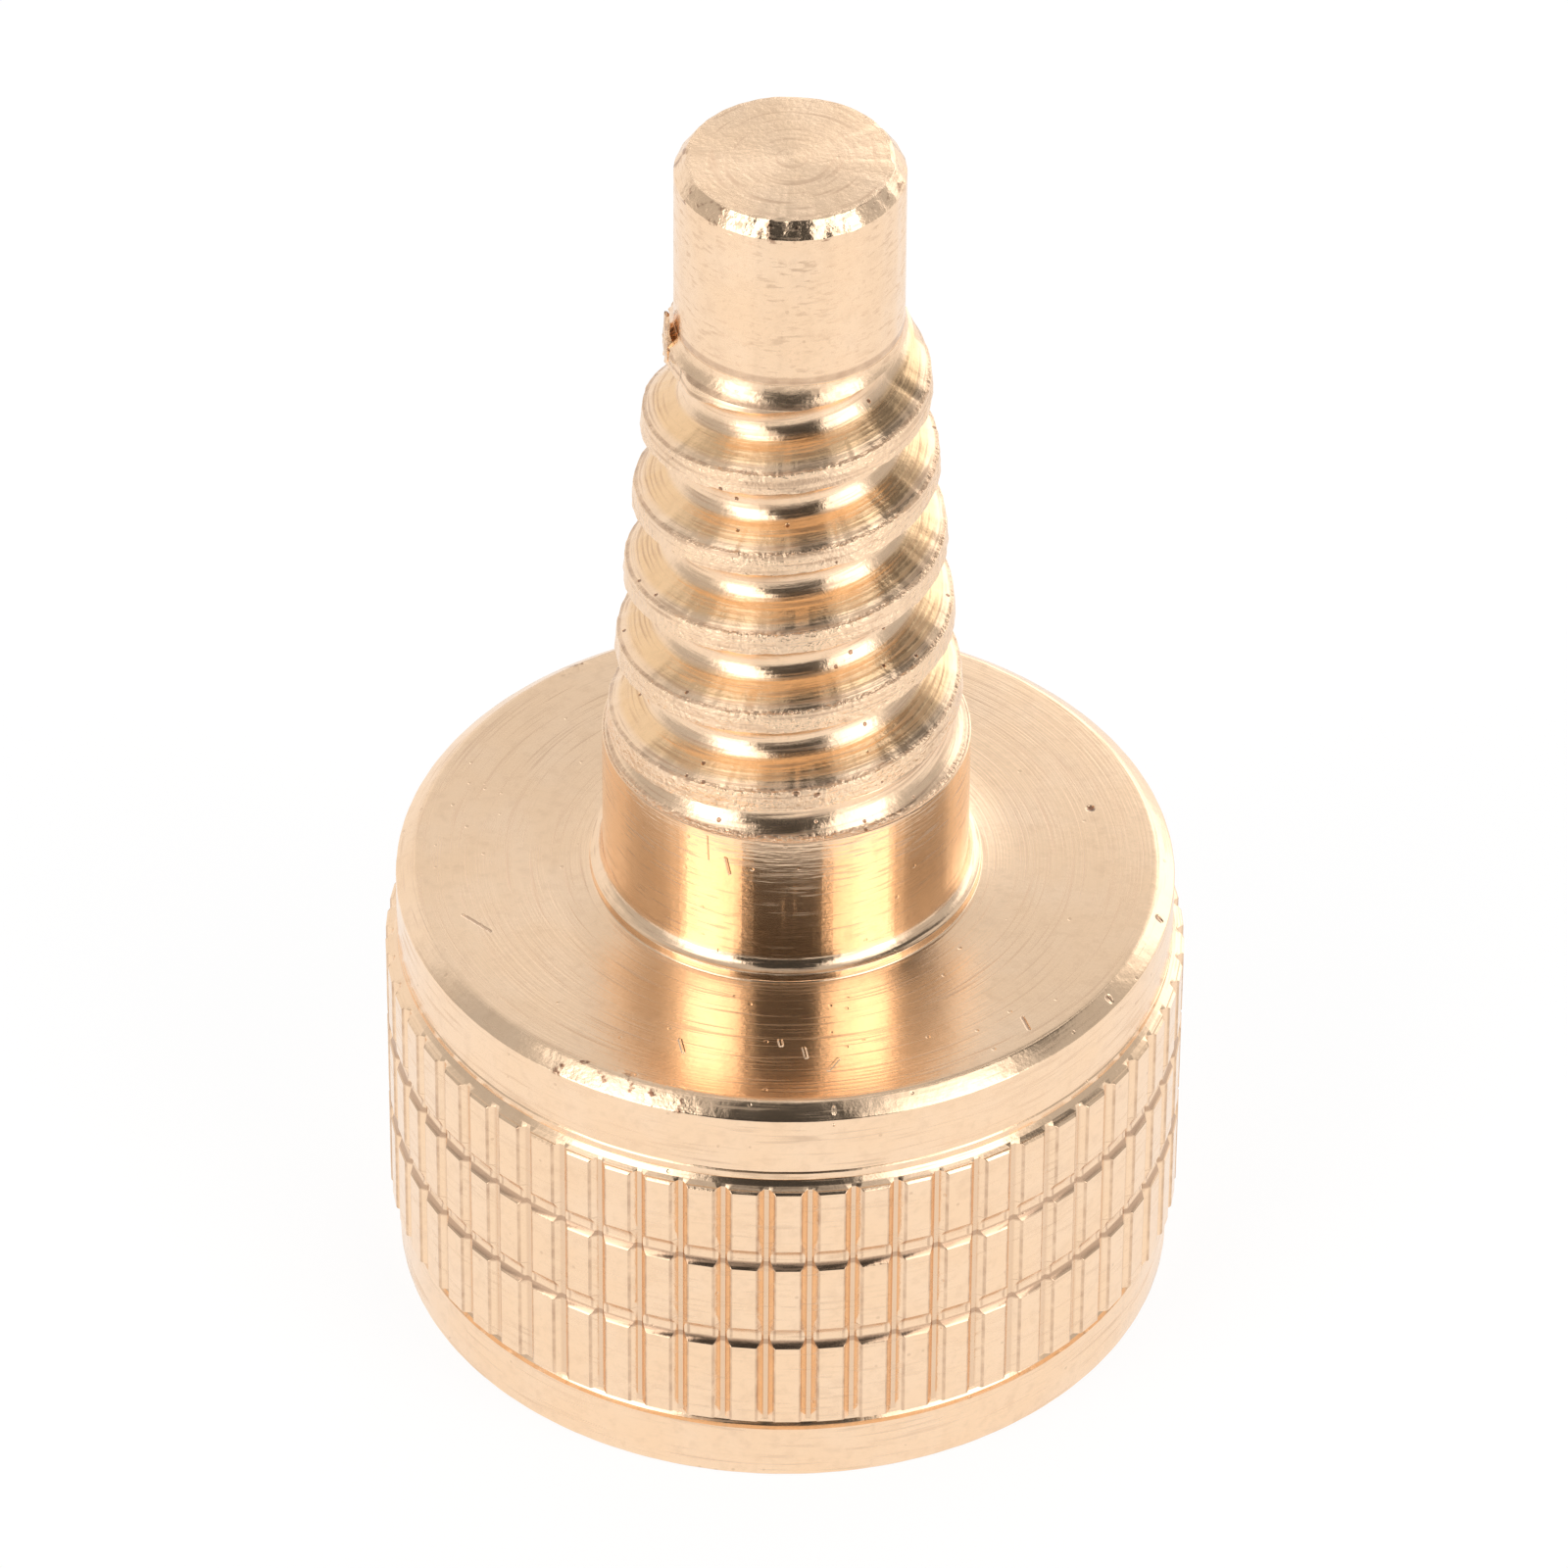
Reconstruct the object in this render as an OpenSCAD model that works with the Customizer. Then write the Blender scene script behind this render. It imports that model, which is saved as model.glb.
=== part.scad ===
// Pool cue joint screw: one piece of brass bar, turned, threaded and knurled in a lathe.
// The head stands on its flat end at z = 0. The pilot points up. All sizes are in millimetres.

/* [Head] */
// Diameter over the lands of the knurl
head_d = 22; // [19:0.1:30]
// Height of the plain band under the knurl
band_h = 1.71; // [0.8:0.01:4]
// How far the plain band lies inside the lands
band_step = 0.26; // [0.1:0.01:0.6]
// Bevel around the foot of the band
foot_bevel = 0.13; // [0.05:0.01:0.4]
// Width of the round undercut between the band and the knurl
undercut_w = 0.5; // [0.2:0.01:0.8]
// Height of the knurled part
knurl_h = 8.28; // [7:0.01:16]
// Bevel around the upper end of the knurl
knurl_bevel = 0.11; // [0.05:0.01:0.3]
// Width of the neck groove between the knurl and the collar
neck_w = 0.23; // [0.1:0.01:0.6]
// Depth of the neck groove below the wall of the collar
neck_depth = 0.26; // [0.1:0.01:0.6]
// Height of the collar, from the neck groove to the seat face
collar_h = 2.43; // [1.6:0.01:6]
// How far the collar lies inside the lands
collar_step = 0.32; // [0.15:0.01:0.6]
// Height of the rim's bevel
rim_bevel_h = 0.36; // [0.1:0.01:0.8]
// Width of the rim's bevel, measured towards the axis
rim_bevel_w = 0.47; // [0.1:0.01:0.8]
// How far the scribed line lies above the neck groove
scribe_rise = 0.26; // [0.15:0.01:0.9]
// Width of the scribed line
scribe_w = 0.08; // [0.04:0.01:0.14]

/* [Knurl] */
// Number of upright grooves around the head
flute_count = 58; // [30:1:60]
// Width of one upright groove at the lands
flute_w = 0.5; // [0.3:0.01:0.6]
// Width of the flat at the root of an upright groove
flute_root_w = 0.13; // [0.05:0.01:0.2]
// Depth of the upright grooves
flute_depth = 0.2; // [0.1:0.01:0.3]
// Turn of the first upright groove away from the front
flute_turn = 3.87; // [0:0.01:6]
// Number of ring grooves across the knurl
ring_count = 2; // [1:1:2]
// How far the upper ring groove lies below the top of the knurl
ring_drop = 2.42; // [1.5:0.01:3]
// Spacing of the ring grooves
ring_pitch = 2.82; // [1.5:0.01:3]
// Width of one ring groove at the lands
ring_w = 0.7; // [0.4:0.01:1]
// Depth of the ring grooves
ring_depth = 0.14; // [0.08:0.01:0.18]

/* [Shank] */
// Diameter of the plain shank
shank_d = 10.02; // [9.9:0.01:13]
// Height of the shank, from the seat face to the first turn of the thread
shank_h = 4.6; // [2:0.01:12]
// Height of the small ring around the foot of the shank, below its fillet
ring_foot_h = 0.28; // [0.1:0.01:0.6]
// How far the small ring stands out from the shank
ring_foot_w = 0.35; // [0.15:0.01:0.38]
// Radius of the fillet between the small ring and the shank
ring_foot_fillet = 0.4; // [0.4:0.01:1]
// Radius of the relief that leads from the shank down into the thread
relief_r = 0.85; // [0.8:0.01:1.2]
// Depth of that relief below the wall of the shank
relief_depth = 0.56; // [0.3:0.01:0.8]
// Height over which the first turn of the groove then reaches its full depth
relief_run = 0.8; // [0.4:0.01:1.6]

/* [Thread] */
// Length of the tapered thread, up to its nose bevel
thread_len = 12.53; // [8:0.01:25]
// Diameter over the crests at the shank
thread_base_d = 9.84; // [8.4:0.01:10]
// Diameter over the crests at the nose bevel
thread_top_d = 7.48; // [7.2:0.01:9]
// Rise of the thread in one turn
thread_pitch = 2.5; // [2.1:0.01:2.7]
// Width of the crest left between two turns of the groove
crest_w = 0.57; // [0.45:0.01:0.8]
// Angle between the two flanks of the groove
groove_angle = 60; // [50:1:75]
// Radius of the groove's rounded root
groove_root_r = 0.6; // [0.2:0.01:0.65]
// How far the groove lies below the top of the nose bevel at the front
groove_drop = 0.84; // [0:0.01:2]
// Turn past the front at which the last of the groove begins to fade
run_out_start = 70; // [0:1:150]
// Turn over which it then fades out
run_out_angle = 80; // [40:1:180]
// Height of the bevel at the nose of the thread
nose_h = 0.82; // [0.3:0.01:2]
// Width of the nose bevel, measured towards the axis
nose_w = 0.31; // [0.1:0.01:0.6]

/* [Pilot] */
// Diameter of the pilot
pilot_d = 6.12; // [4:0.01:6.6]
// Length of the pilot, from the top of the nose bevel to its end
pilot_len = 5.71; // [3:0.01:14]
// Radius of the fillet between the pilot and the nose
pilot_fillet = 0.75; // [0.4:0.01:1]
// Height of the bevel around the end of the pilot
pilot_bevel_h = 0.43; // [0.1:0.01:1]
// Width of that bevel, measured towards the axis
pilot_bevel_w = 0.31; // [0.1:0.01:1]

/* [Hidden] */
$fn = 180;

// Radii of the turned walls
land_r = head_d / 2;
band_r = land_r - band_step;
collar_r = land_r - collar_step;
neck_r = collar_r - neck_depth;
shank_r = shank_d / 2;
pilot_r = pilot_d / 2;
thread_base_r = thread_base_d / 2;
thread_top_r = thread_top_d / 2;
nose_r = max(thread_top_r - nose_w, pilot_r);

// Heights of the steps, from the foot up
knurl_z = band_h + undercut_w;
neck_z = knurl_z + knurl_h;
collar_z = neck_z + neck_w;
seat_z = collar_z + collar_h;
shoulder_z = seat_z + shank_h;
bevel_z = shoulder_z + thread_len;
nose_z = bevel_z + nose_h;
tip_z = nose_z + pilot_len;

// The tool that cuts the thread: straight flanks that meet in a rounded tip
groove_half_w = (thread_pitch - crest_w) / 2;
flank_run = tan(groove_angle / 2);
groove_depth = groove_half_w / flank_run - groove_root_r * (1 / sin(groove_angle / 2) - 1);
tip_half_angle = 90 - groove_angle / 2;
tip_sides = 8;
steps_per_turn = 40;

// Reach of a cut past the surface that it opens: for the knurl, and for the thread
cut_over = 0.4;
thread_over = 0.25;

// Turned relief between the shank and the thread: a concave arc, then a cone down to the groove
relief_arc_r = shank_r - relief_depth + relief_r;
relief_arc_z = shoulder_z + sqrt(pow(relief_r, 2) - pow(relief_r - relief_depth, 2));
relief_root_r = thread_base_r - groove_depth;
relief_slope = relief_run / max(shank_r - relief_depth - relief_root_r, relief_depth);

// Radius over the crests at height z
function crest_r(z) =
    thread_base_r + (thread_top_r - thread_base_r) * (z - shoulder_z) / thread_len;

// Height of the tool's tip after it has turned by angle t from the front
function tool_z(t) = nose_z - groove_drop + thread_pitch * t / 360;

// Angle at which the middle of the groove reaches height z
function angle_at(z) = 360 * (z - tool_z(0)) / thread_pitch;

// How far the tool has drawn back from the taper at angle t
function tool_lift(t) = groove_depth * max(0, t - run_out_start) / run_out_angle;

// Outline of the tool in the plane through the axis, as [radius, height] pairs
function tool_outline(t) =
    let (
        surface_r = crest_r(tool_z(t)),
        tip_r = surface_r - groove_depth + groove_root_r + tool_lift(t),
        flank_r = tip_r - groove_root_r * cos(tip_half_angle),
        out_r = surface_r + thread_over,
        out_half_w = groove_root_r * sin(tip_half_angle) + flank_run * (out_r - flank_r)
    )
    concat(
        [for (i = [0:tip_sides])
            let (a = tip_half_angle * (2 * i / tip_sides - 1))
            [tip_r - groove_root_r * cos(a), tool_z(t) + groove_root_r * sin(a)]],
        [[out_r, tool_z(t) + out_half_w],
         [out_r, tool_z(t) - out_half_w]]
    );

// A point of that outline, turned about the axis by angle t from the front
function turned(p, t) = [p[0] * sin(t), -p[0] * cos(t), p[1]];

// Solid swept by the tool: rings of points, joined by triangles
module tool_sweep(t_start, t_end) {
    rings = ceil((t_end - t_start) * steps_per_turn / 360);
    n = tip_sides + 3;
    points = [for (k = [0:rings])
        let (t = t_start + (t_end - t_start) * k / rings)
        for (p = tool_outline(t)) turned(p, t)];
    sides = [for (k = [0:rings - 1], i = [0:n - 1])
        let (a = k * n + i, b = k * n + (i + 1) % n)
        for (face = [[a, b + n, b], [a, a + n, b + n]]) face];
    start_cap = [for (i = [1:n - 2]) [0, i, i + 1]];
    end_cap = [for (i = [1:n - 2]) [rings * n, rings * n + i + 1, rings * n + i]];
    polyhedron(points, concat(sides, start_cap, end_cap));
}

// Half section of the head
module head_section() {
    difference() {
        polygon([
            [0, 0],
            [band_r - foot_bevel, 0],
            [band_r, foot_bevel],
            [band_r, knurl_z],
            [land_r, knurl_z],
            [land_r, neck_z - knurl_bevel],
            [land_r - knurl_bevel, neck_z],
            [neck_r, neck_z],
            [neck_r, collar_z],
            [collar_r, collar_z],
            [collar_r, seat_z - rim_bevel_h],
            [collar_r - rim_bevel_w, seat_z],
            [0, seat_z]
        ]);
        translate([band_r, band_h + undercut_w / 2])
            circle(r = undercut_w / 2);
        scribe_section();
    }
}

// Half section of the scribed line around the collar
module scribe_section() {
    scribe_z = collar_z + scribe_rise;
    polygon([
        [collar_r + scribe_w / 2, scribe_z - scribe_w],
        [collar_r + scribe_w / 2, scribe_z + scribe_w],
        [collar_r - scribe_w / 2, scribe_z]
    ]);
}

// Half section of the shank: ring and fillet around its foot, relief up into the thread
module shank_section() {
    fillet_z = seat_z + ring_foot_h + ring_foot_fillet;
    difference() {
        polygon([
            [0, 0],
            [shank_r, 0],
            [shank_r, relief_arc_z - relief_depth * relief_slope],
            [relief_root_r, relief_arc_z + relief_run],
            [0, relief_arc_z + relief_run]
        ]);
        translate([relief_arc_r, relief_arc_z])
            circle(r = relief_r);
    }
    difference() {
        square([shank_r + ring_foot_w, fillet_z]);
        translate([shank_r + ring_foot_fillet, fillet_z])
            circle(r = ring_foot_fillet);
    }
}

// Half section of the tapered blank of the thread, with its nose bevel
module thread_section() {
    polygon([
        [0, seat_z],
        [thread_base_r, seat_z],
        [thread_base_r, shoulder_z],
        [thread_top_r, bevel_z],
        [nose_r, nose_z],
        [0, nose_z]
    ]);
}

// Half section of the pilot, with the fillet at its root
module pilot_section() {
    fillet_w = min(nose_r - pilot_r, pilot_fillet);
    fillet_h = sqrt(pow(pilot_fillet, 2) - pow(pilot_fillet - fillet_w, 2));
    polygon([
        [0, seat_z],
        [pilot_r, seat_z],
        [pilot_r, tip_z - pilot_bevel_h],
        [pilot_r - pilot_bevel_w, tip_z],
        [0, tip_z]
    ]);
    difference() {
        translate([0, nose_z - fillet_h])
            square([pilot_r + fillet_w, 2 * fillet_h]);
        translate([pilot_r + pilot_fillet, nose_z + fillet_h])
            circle(r = pilot_fillet);
    }
}

// The threaded rod: the groove fades out on the nose and runs down into the shank
module threaded_rod() {
    difference() {
        rotate_extrude() {
            thread_section();
            pilot_section();
        }
        tool_sweep(angle_at(shoulder_z - groove_half_w), run_out_start + run_out_angle);
    }
}

// One upright groove of the knurl: flat root, sloping sides
module knurl_flute() {
    slope = (flute_w - flute_root_w) / (2 * flute_depth);
    half_out = flute_root_w / 2 + slope * (flute_depth + cut_over);
    translate([0, 0, band_h + undercut_w / 2])
        linear_extrude(height = knurl_h + undercut_w / 2 + neck_w / 2)
            polygon([
                [land_r - flute_depth, -flute_root_w / 2],
                [land_r + cut_over, -half_out],
                [land_r + cut_over, half_out],
                [land_r - flute_depth, flute_root_w / 2]
            ]);
}

// One ring groove of the knurl, with a round root
module knurl_ring() {
    wheel_r = (pow(ring_w / 2, 2) + pow(ring_depth, 2)) / (2 * ring_depth);
    rotate_extrude()
        translate([land_r + wheel_r - ring_depth, 0])
            circle(r = wheel_r);
}

// The whole screw
module joint_screw() {
    color("#d9b36c")
        difference() {
            union() {
                threaded_rod();
                rotate_extrude() {
                    head_section();
                    shank_section();
                }
            }
            for (i = [0:flute_count - 1])
                rotate([0, 0, flute_turn - 90 + 360 * i / flute_count])
                    knurl_flute();
            for (i = [0:ring_count - 1])
                translate([0, 0, neck_z - ring_drop - ring_pitch * i])
                    knurl_ring();
        }
}

joint_screw();
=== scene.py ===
"""Pool cue joint screw: one turned, threaded and knurled piece of brass on a pale studio floor.

The head with its knurl, the tapered thread, the pilot and a torn sliver are modelled one by one and
joined to one solid. Lengths in Blender are metres; the size fields of the classes are millimetres,
as on a workshop drawing, and are scaled as the meshes are made.
"""

import logging
import math
from contextlib import contextmanager
from dataclasses import dataclass, field
from enum import Enum
from typing import Any, Callable, Iterator, Optional, Union

import bpy
from mathutils import Matrix, Vector, noise


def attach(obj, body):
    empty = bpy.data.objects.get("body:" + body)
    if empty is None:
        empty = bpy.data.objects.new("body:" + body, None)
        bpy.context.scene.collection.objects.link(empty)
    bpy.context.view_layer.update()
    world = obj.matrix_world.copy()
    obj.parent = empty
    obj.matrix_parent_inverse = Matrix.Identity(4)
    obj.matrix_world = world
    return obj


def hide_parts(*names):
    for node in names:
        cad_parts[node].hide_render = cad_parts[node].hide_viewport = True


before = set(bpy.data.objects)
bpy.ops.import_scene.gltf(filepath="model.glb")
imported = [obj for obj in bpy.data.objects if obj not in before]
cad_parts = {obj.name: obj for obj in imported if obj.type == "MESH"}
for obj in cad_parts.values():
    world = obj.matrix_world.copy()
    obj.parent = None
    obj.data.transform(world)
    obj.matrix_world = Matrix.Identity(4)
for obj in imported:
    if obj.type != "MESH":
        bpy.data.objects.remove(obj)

Piece = bpy.types.Object
Pair = tuple[float, float]
Outline = list[Pair]
Colour = tuple[float, float, float]

LOG = logging.getLogger("joint_screw")
MM = 0.001  # metres
SLACK = 0.01  # millimetres of tolerance when vertices are picked by their place
MERGE = 0.001  # millimetres; vertices nearer to one another than this are merged
COLUMNS = 232  # columns of points around the pilot and around the nose's envelope
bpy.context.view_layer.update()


# ---- Outlines ----


@dataclass(frozen=True)
class Corner:
    """One corner of a turned outline.

    Args:
        radius: Distance from the axis, in millimetres.
        height: Height above the floor, in millimetres.
        rounding: Radius of the rounding at the corner, or 0 for a sharp one.
        steps: Number of edges that the rounding gets.
    """

    radius: float
    height: float
    rounding: float = 0.0
    steps: int = 3

    def point(self) -> Vector:
        """Returns the corner as a (radius, height) vector."""
        return Vector((self.radius, self.height))


def rounded_outline(corners: list[Corner]) -> Outline:
    """Turns corners into an outline whose rounded corners are arcs.

    Args:
        corners: The corners in order, from the foot up.

    Returns:
        The outline's points as (radius, height) pairs in millimetres.
    """
    outline: Outline = []
    for index, corner in enumerate(corners):
        here = corner.point()
        inside = 0 < index < len(corners) - 1
        if corner.rounding == 0.0 or not inside:
            outline.append((here.x, here.y))
            continue
        back = (corners[index - 1].point() - here).normalized()
        ahead = (corners[index + 1].point() - here).normalized()
        half = back.angle(ahead) / 2
        centre = here + (back + ahead).normalized() * (corner.rounding / math.sin(half))
        first = here + back * (corner.rounding / math.tan(half)) - centre
        last = here + ahead * (corner.rounding / math.tan(half)) - centre
        sweep = first.angle_signed(last)
        for step in range(corner.steps + 1):
            spoke = first.copy()
            spoke.rotate(Matrix.Rotation(-sweep * step / corner.steps, 2))
            outline.append(tuple(centre + spoke))
    return outline


def groove_outline(radius: float, middle: float, width: float, depth: float, steps: int) -> Outline:
    """Outline of a round-bottomed ring groove in a plain wall.

    Args:
        radius: Radius of the wall.
        middle: Height of the groove's middle.
        width: Width of the groove at the wall.
        depth: Depth of the groove.
        steps: Number of edges across the groove.

    Returns:
        The groove's points from its lower to its upper edge, as (radius, height) pairs.
    """
    wheel = ((width / 2) ** 2 + depth**2) / (2 * depth)
    reach = math.asin(min(1.0, width / 2 / wheel))
    angles = [reach * (2 * step / steps - 1) for step in range(steps + 1)]
    return [
        (radius - depth + wheel * (1 - math.cos(a)), middle + wheel * math.sin(a)) for a in angles
    ]


def quarter_round(
    radius: float, height: float, depth: float, wheel: float, steps: int
) -> list[Corner]:
    """Part of a circle that turns in from an edge until it runs upright.

    Args:
        radius: Radius of the edge.
        height: Height of the edge.
        depth: How much nearer to the axis the curve ends.
        wheel: Radius of the circle.
        steps: Number of edges along the curve.

    Returns:
        The curve's corners, the edge first.
    """
    start = math.asin((wheel - depth) / wheel)
    centre = radius - depth + wheel
    top = height + wheel * math.cos(start)
    angles = [start + (math.pi / 2 - start) * step / steps for step in range(steps + 1)]
    return [Corner(centre - wheel * math.sin(a), top - wheel * math.cos(a)) for a in angles]


# ---- Work on meshes ----


def deselect_all() -> None:
    """Leaves nothing selected, so that the next operator acts on new work alone."""
    for item in bpy.context.selected_objects:
        item.select_set(False)


def take(piece: Piece) -> None:
    """Makes one piece the selected and active one."""
    deselect_all()
    piece.select_set(True)
    bpy.context.view_layer.objects.active = piece


def polar(vertex: bpy.types.MeshVertex) -> tuple[float, float, float]:
    """Returns a vertex's radius, its turn from the front in degrees, and its height."""
    x, y, z = vertex.co
    return math.hypot(x, y) / MM, math.degrees(math.atan2(x, -y)), z / MM


def put(vertex: bpy.types.MeshVertex, radius: float, turn: float, height: float) -> None:
    """Moves a vertex to a radius, a turn from the front in radians, and a height."""
    vertex.co = (radius * MM * math.sin(turn), -radius * MM * math.cos(turn), height * MM)


@contextmanager
def editing(piece: Piece) -> Iterator[None]:
    """Edits a piece with all of it selected, and goes back to object mode afterwards."""
    take(piece)
    bpy.ops.object.mode_set(mode="EDIT")
    bpy.ops.mesh.select_all(action="SELECT")
    yield
    bpy.ops.object.mode_set(mode="OBJECT")


def face_outward(piece: Piece) -> None:
    """Turns all faces of a closed piece outward."""
    with editing(piece):
        bpy.ops.mesh.normals_make_consistent(inside=False)


def turn_blank(name: str, outline: Outline, angles: list[float]) -> Piece:
    """Turns a closed blank: a ring of edges is pulled along the outline and closed at both ends.

    Args:
        name: Name of the new piece.
        outline: The (radius, height) pairs in millimetres, from the foot up.
        angles: Angle of each column of points from the front, in degrees.

    Returns:
        The blank, with its faces outward.
    """
    deselect_all()
    first_radius, first_height = outline[0]
    bpy.ops.mesh.primitive_circle_add(
        vertices=len(angles), radius=first_radius * MM, location=(0, 0, first_height * MM)
    )
    blank = bpy.context.active_object
    blank.name = blank.data.name = name
    bpy.ops.object.transform_apply(location=True, rotation=True, scale=True)
    for vertex, angle in zip(blank.data.vertices, angles):
        put(vertex, first_radius, math.radians(angle), first_height)
    with editing(blank):
        bpy.ops.mesh.edge_face_add()
        for (radius, height), (next_radius, next_height) in zip(outline, outline[1:]):
            rise = (next_height - height) * MM
            bpy.ops.mesh.extrude_region_move(TRANSFORM_OT_translate={"value": (0, 0, rise)})
            swell, centre = next_radius / radius, (0, 0, next_height * MM)
            bpy.ops.transform.resize(value=(swell, swell, 1), center_override=centre)
    face_outward(blank)
    return blank


def even_angles(count: int, start: float = 0.0) -> list[float]:
    """Returns count angles in degrees, evenly spaced around a circle."""
    return [start + 360 * index / count for index in range(count)]


def join_solids(base: Piece, tool: Piece, operation: str) -> None:
    """Joins or trims a piece by another one, which is then deleted.

    Args:
        base: The piece that is changed.
        tool: The piece that is added, subtracted or kept as the common part.
        operation: UNION, DIFFERENCE or INTERSECT.
    """
    take(base)
    modifier = base.modifiers.new("join", "BOOLEAN")
    modifier.operation = operation
    modifier.solver = "EXACT"
    modifier.object = tool
    bpy.ops.object.modifier_apply(modifier=modifier.name)
    bpy.data.objects.remove(tool, do_unlink=True)


# ---- The screw ----


@dataclass
class Head:
    """The head: foot band, knurl, neck, collar, seat face and shank, up to the shoulder."""

    land_radius: float = 11.0
    band_radius: float = 10.74
    band_height: float = 1.71
    foot_rounding: float = 0.13
    foot_inner_radius: float = 4.0
    undercut_width: float = 0.49
    undercut_depth: float = 0.2
    knurl_foot: float = 2.21
    knurl_top: float = 10.49
    knurl_bevel: float = 0.06
    ring_middles: Pair = (5.25, 8.07)
    ring_width: float = 0.70
    ring_depth: float = 0.14
    flute_count: int = 58
    flute_turn: float = 3.87
    flute_width: float = 0.50
    flute_root_width: float = 0.13
    flute_depth: float = 0.19
    flute_edge: float = 0.025
    neck_radius: float = 10.66
    collar_foot: float = 10.72
    collar_radius: float = 10.68
    scribe_height: float = 10.98
    rim_foot: float = 12.79
    seat_radius: float = 10.21
    seat_height: float = 13.15
    ring_foot_radius: float = 5.36
    ring_foot_top: float = 13.43
    ring_fillet_radius: float = 0.40
    relief_radius: float = 0.85
    relief_depth: float = 0.56
    shank_radius: float = 5.01
    shoulder: float = 17.75
    core_radius: float = 3.86
    core_height: float = 1.60

    def outline(self) -> Outline:
        """Returns the head's outline, from its foot to the core that reaches into the thread."""
        band, land, bevel = self.band_radius, self.land_radius, self.knurl_bevel
        foot, top, step = self.knurl_foot, self.knurl_top, self.collar_foot
        neck, plain, scribe = self.neck_radius, self.collar_radius, self.scribe_height
        seat, ring, shank = self.seat_height, self.ring_foot_radius, self.shank_radius
        shoulder = self.shoulder
        lowest = [
            Corner(self.foot_inner_radius, 0),
            Corner(band, 0, self.foot_rounding, 4),
            Corner(band, self.band_height * 0.5),
        ]
        middle = (self.band_height + foot) / 2
        undercut = groove_outline(band, middle, self.undercut_width, self.undercut_depth, 6)
        knurl_edge = [
            Corner(band, foot),
            Corner(land, foot, 0.03, 2),
            Corner(land, foot + 0.3),
        ]
        rings: Outline = []
        for middle in self.ring_middles:
            rings += groove_outline(land, middle, self.ring_width, self.ring_depth, 8)
        wheel = self.ring_fillet_radius
        fillet = quarter_round(ring, self.ring_foot_top, ring - shank, wheel, 10)
        relief = quarter_round(shank, shoulder, self.relief_depth, self.relief_radius, 14)
        collar = [
            Corner(land, top - 0.4),
            Corner(land, top - bevel),
            Corner(land - bevel, top, 0.02, 2),
            Corner(land - bevel - 0.04, top + 0.01),
            Corner(neck + 0.11, top + 0.09, 0.08, 4),
            Corner(neck, step - 0.03, 0.04, 2),
            Corner(neck - 0.03, step),
            Corner(plain, step + 0.015, 0.02, 2),
            Corner(plain, scribe - 0.04),
            Corner(plain - 0.045, scribe),
            Corner(plain, scribe + 0.04),
            Corner(plain, self.rim_foot, 0.08, 4),
            Corner(self.seat_radius, seat, 0.30, 6),
            Corner(9.0, seat),
            Corner(6.6, seat),
            Corner(ring, seat, 0.06, 3),
            Corner(ring, self.ring_foot_top, 0.03, 2),
            *fillet[1:],
            Corner(shank, shoulder - 1.6),
            Corner(shank, shoulder - 0.01),
            *relief,
            Corner(self.core_radius, shoulder + self.core_height),
            Corner(2.0, shoulder + self.core_height + 0.01),
        ]
        return (
            rounded_outline(lowest)
            + undercut[:-1]
            + rounded_outline(knurl_edge)
            + rings
            + rounded_outline(collar)
        )

    def flute_slope(self) -> float:
        """Returns how far a wall of a knurl's groove runs sideways for its depth."""
        return (self.flute_width / 2 - self.flute_root_width / 2) / self.flute_depth

    def turn_per_millimetre(self) -> float:
        """Returns the angle of one millimetre around the lands, in degrees."""
        return 360 / (2 * math.pi * self.land_radius)

    def columns(self) -> Outline:
        """Columns of points over one groove and one land of the knurl.

        Returns:
            Pairs of the column's distance from the groove's middle, in millimetres at the lands,
            and the depth at which the column runs below the lands.
        """
        half_width, half_edge = self.flute_width / 2, self.flute_edge * 0.5
        right = [
            (self.flute_root_width / 2, self.flute_depth),
            (half_width - self.flute_slope() * half_edge, half_edge),
            (half_width + half_edge, 0.0),
        ]
        left = [(-offset, depth) for offset, depth in reversed(right)]
        return left + right

    def angles(self) -> list[float]:
        """Returns the angle of every column around the head, in degrees from the front."""
        return [
            self.flute_turn + 360 * flute / self.flute_count + offset * self.turn_per_millimetre()
            for flute in range(self.flute_count)
            for offset, _ in self.columns()
        ]

    def cut_knurl(self, blank: Piece) -> None:
        """Moves the columns of the knurl inward, so that upright grooves cross the ring grooves."""
        pitch = 360 / self.flute_count
        per_millimetre = self.turn_per_millimetre()
        half_root, half_width = self.flute_root_width / 2, self.flute_width / 2
        slope = self.flute_slope()
        columns = self.columns()
        for vertex in blank.data.vertices:
            radius, turn, height = polar(vertex)
            inside = self.knurl_foot - SLACK < height < self.knurl_top + SLACK
            if not inside or radius < self.band_radius + 0.1 * SLACK:
                continue
            angle = turn - self.flute_turn
            flute = round(angle / pitch)
            offset = (angle - flute * pitch) / per_millimetre
            side = 1 if offset > 0 else -1
            depth = min(columns, key=lambda column: abs(column[0] - offset))[1]
            sunk = self.land_radius - radius
            if depth == self.flute_depth:
                radius = min(radius, self.land_radius - self.flute_depth)
            elif depth > 0:
                offset = side * max(half_root, half_width - slope * max(sunk, depth))
                radius = min(radius, self.land_radius - depth)
            elif sunk > 0:
                shift = min(sunk * slope, half_width - half_root - SLACK)
                offset = side * (half_width - shift + self.flute_edge * 0.5)
            turn = math.radians(self.flute_turn + flute * pitch + offset * per_millimetre)
            put(vertex, radius, turn, height)

    def build(self) -> Piece:
        """Returns the finished head."""
        head = turn_blank("head", self.outline(), self.angles())
        self.cut_knurl(head)
        return head


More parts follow.
